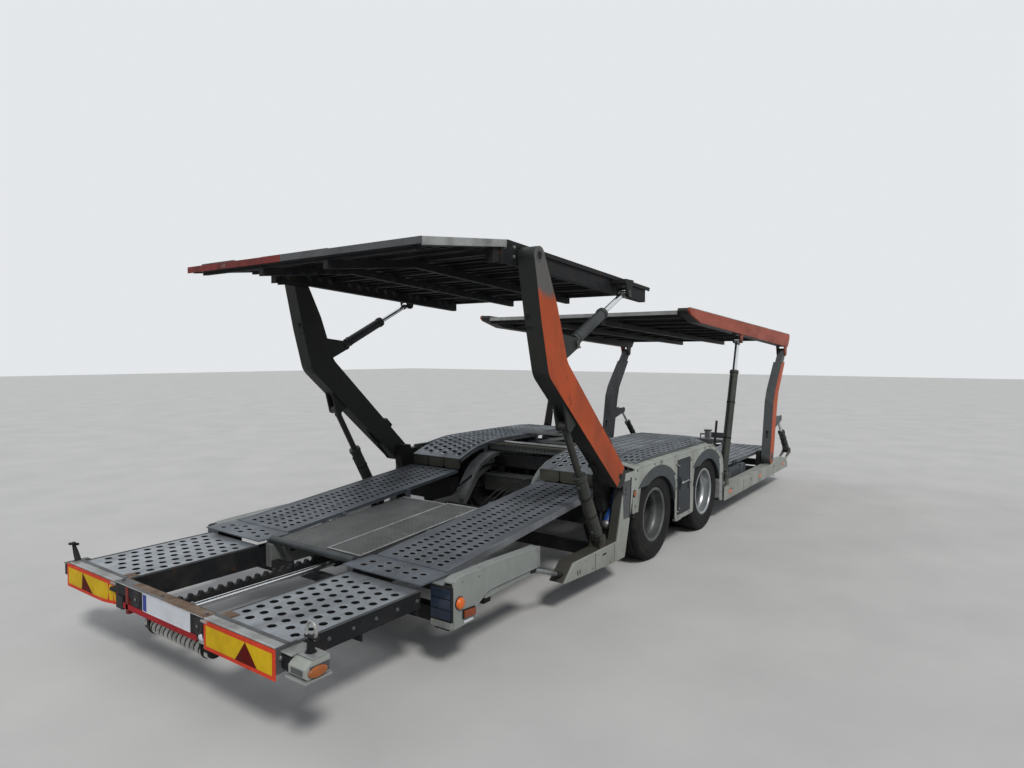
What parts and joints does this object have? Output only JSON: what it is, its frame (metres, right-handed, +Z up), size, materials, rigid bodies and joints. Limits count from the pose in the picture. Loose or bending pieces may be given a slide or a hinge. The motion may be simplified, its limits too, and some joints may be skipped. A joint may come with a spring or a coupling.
{
  "type": "car transporter trailer",
  "caption": "Two-deck centre-axle car transporter trailer with a sliding rear ramp extension, swinging arms and posts under hydraulic upper platforms, twin wheels and a drawbar.",
  "frame": {"origin": "centre of the bounding box at ground level", "axes": "+X forward to the drawbar, +Y to the left, +Z up"},
  "size_m": [9.6, 2.5, 2.5],
  "materials": {
    "frame_grey": "worn satin",
    "zinc_steel": "dull zinc",
    "black_steel": "worn satin",
    "bag_rubber": "matte",
    "deck_metal": "worn",
    "deck_dark": "worn",
    "tread_plate": "worn",
    "pale_paint": "worn satin",
    "arch_plastic": "matte",
    "door_grey": "satin",
    "amber_lens": "gloss",
    "chrome_rod": "polished",
    "board_yellow": "reflective sheet",
    "panel_white": "matte",
    "hose_plastic": "matte",
    "arm_paint": "worn satin",
    "orange_paint": "worn satin",
    "damper_blue": "satin",
    "cylinder_paint": "worn satin",
    "tyre": "matte",
    "rim_paint": "satin"
  },
  "bodies": {
    "root": {"main_frame": "frame_grey", "cross_members": "black_steel", "outriggers": "black_steel", "side_tanks": "door_grey", "post_dampers": "damper_blue", "drawbar": "frame_grey", "support_leg": "zinc_steel", "axle_beams": "black_steel", "suspension_arms": "black_steel", "air_bags": "bag_rubber", "rear_ramps": "deck_metal", "step_plates": "deck_metal", "centre_covers": "tread_plate", "wheel_decks": "deck_metal", "front_runways": "deck_metal", "fenders": "pale_paint", "fender_arches": "arch_plastic", "lockers": "black_steel", "rear_rails": "pale_paint", "front_rails": "pale_paint", "pivot_brackets": "black_steel", "side_guards": "pale_paint", "side_lamps": "amber_lens", "cross_pipe": "frame_grey", "extension_barrel": "black_steel"},
    "rear_extension": {"extension_frame": "black_steel", "extension_runways": "deck_metal", "extension_rack": "black_steel", "extension_rod": "chrome_rod", "marker_boards": "board_yellow", "number_panel": "panel_white", "hose_roll": "hose_plastic", "corner_boxes": "pale_paint"},
    "rear_arms": {"rear_arms": "arm_paint"},
    "rear_platform": {"rear_platform_beams": "black_steel", "rear_platform_ribs": "black_steel", "rear_platform_deck": "deck_dark"},
    "front_posts": {"front_posts": "arm_paint"},
    "front_platform": {"front_platform_beams": "orange_paint", "front_platform_ribs": "black_steel", "front_platform_deck": "deck_dark"},
    "lift_barrels": {"lift_barrels": "cylinder_paint"},
    "lift_rods": {"lift_rods": "chrome_rod"},
    "tilt_barrels": {"tilt_barrels": "cylinder_paint"},
    "tilt_rods": {"tilt_rods": "chrome_rod"},
    "front_lift_barrels": {"front_lift_barrels": "cylinder_paint"},
    "front_lift_rods": {"front_lift_rods": "chrome_rod"},
    "front_post_barrels": {"front_post_barrels": "cylinder_paint"},
    "front_post_rods": {"front_post_rods": "chrome_rod"},
    "wheels_rear_left": {"tyres_rear_left": "tyre", "rims_rear_left": "rim_paint"},
    "wheels_rear_right": {"tyres_rear_right": "tyre", "rims_rear_right": "rim_paint"},
    "wheels_front_left": {"tyres_front_left": "tyre", "rims_front_left": "rim_paint"},
    "wheels_front_right": {"tyres_front_right": "tyre", "rims_front_right": "rim_paint"},
    "locker_door_left": {"locker_door_left": "door_grey"},
    "locker_door_right": {"locker_door_right": "door_grey"}
  },
  "joints": [
    {"name": "wheels_rear_left_spin", "type": "hinge", "parent": "root", "child": "wheels_rear_left", "pos_m": [-1.075, 0.945, 0.395], "axis": [0, 1, 0], "continuous": true},
    {"name": "wheels_rear_right_spin", "type": "hinge", "parent": "root", "child": "wheels_rear_right", "pos_m": [-1.075, -0.945, 0.395], "axis": [0, 1, 0], "continuous": true},
    {"name": "wheels_front_left_spin", "type": "hinge", "parent": "root", "child": "wheels_front_left", "pos_m": [0.175, 0.945, 0.395], "axis": [0, 1, 0], "continuous": true},
    {"name": "wheels_front_right_spin", "type": "hinge", "parent": "root", "child": "wheels_front_right", "pos_m": [0.175, -0.945, 0.395], "axis": [0, 1, 0], "continuous": true},
    {"name": "extension_slide", "type": "slide", "parent": "root", "child": "rear_extension", "axis": [1, 0, 0], "range_m": [0, 0.7]},
    {"name": "arms_swing", "type": "hinge", "parent": "root", "child": "rear_arms", "pos_m": [-1.855, 0, 0.85], "axis": [0, 1, 0], "range_deg": [-20, 12]},
    {"name": "platform_tilt", "type": "hinge", "parent": "rear_arms", "child": "rear_platform", "pos_m": [-3.015, 0, 2.408], "axis": [0, -1, 0], "range_deg": [-15, 12]},
    {"name": "posts_swing", "type": "hinge", "parent": "root", "child": "front_posts", "pos_m": [2.65, 0, 0.45], "axis": [0, 1, 0], "range_deg": [-8, 20]},
    {"name": "front_platform_level", "type": "hinge", "parent": "front_posts", "child": "front_platform", "pos_m": [3.285, 0, 1.838], "axis": [0, 1, 0], "range_deg": [-20.5, 8.5]},
    {"name": "lift_barrels_swing", "type": "hinge", "parent": "root", "child": "lift_barrels", "pos_m": [-2.1, 0, 0.41], "axis": [0, 1, 0], "range_deg": [-15.74, 9.65]},
    {"name": "lift_rods_slide", "type": "slide", "parent": "lift_barrels", "child": "lift_rods", "axis": [-0.4845, 0, 0.8748], "range_m": [-0.1569, 0.095]},
    {"name": "tilt_barrels_swing", "type": "hinge", "parent": "rear_arms", "child": "tilt_barrels", "pos_m": [-2.51, 0, 1.87], "axis": [0, 1, 0], "range_deg": [-15.92, 19.77]},
    {"name": "tilt_rods_slide", "type": "slide", "parent": "tilt_barrels", "child": "tilt_rods", "axis": [0.8931, 0, 0.4498], "range_m": [-0.1824, 0.1463]},
    {"name": "front_lift_barrels_swing", "type": "hinge", "parent": "root", "child": "front_lift_barrels", "pos_m": [0.814, 0, 0.47], "axis": [0, 1, 0], "range_deg": [-8.34, 20.1]},
    {"name": "front_lift_rods_slide", "type": "slide", "parent": "front_lift_barrels", "child": "front_lift_rods", "axis": [0.2876, 0, 0.9578], "range_m": [-0.0764, 0.0318]},
    {"name": "front_post_barrels_swing", "type": "hinge", "parent": "root", "child": "front_post_barrels", "pos_m": [3.68, 0, 0.42], "axis": [0, 1, 0], "range_deg": [-4.31, 2.02]},
    {"name": "front_post_rods_slide", "type": "slide", "parent": "front_post_barrels", "child": "front_post_rods", "axis": [-0.7333, 0, 0.6799], "range_m": [-0.2337, 0.0947]},
    {"name": "locker_door_left_swing", "type": "hinge", "parent": "root", "child": "locker_door_left", "pos_m": [-0.625, 1.238, 0.559], "axis": [0, 0, 1], "range_deg": [0, 100]},
    {"name": "locker_door_right_swing", "type": "hinge", "parent": "root", "child": "locker_door_right", "pos_m": [-0.625, -1.238, 0.559], "axis": [0, 0, -1], "range_deg": [0, 100]}
  ],
  "couplings": [
    {"joint": "front_platform_level", "follows": "posts_swing", "ratio": -1},
    {"joint": "lift_barrels_swing", "follows": "arms_swing", "ratio": 0.7622},
    {"joint": "lift_rods_slide", "follows": "arms_swing", "m_per_rad": 0.44383},
    {"joint": "tilt_barrels_swing", "follows": "platform_tilt", "ratio": -1.2848},
    {"joint": "tilt_rods_slide", "follows": "platform_tilt", "m_per_rad": 0.68895},
    {"joint": "front_lift_barrels_swing", "follows": "posts_swing", "ratio": 0.98},
    {"joint": "front_lift_rods_slide", "follows": "posts_swing", "m_per_rad": -0.21324},
    {"joint": "front_post_barrels_swing", "follows": "posts_swing", "ratio": -0.1904},
    {"joint": "front_post_rods_slide", "follows": "posts_swing", "m_per_rad": -0.66382}
  ]
}
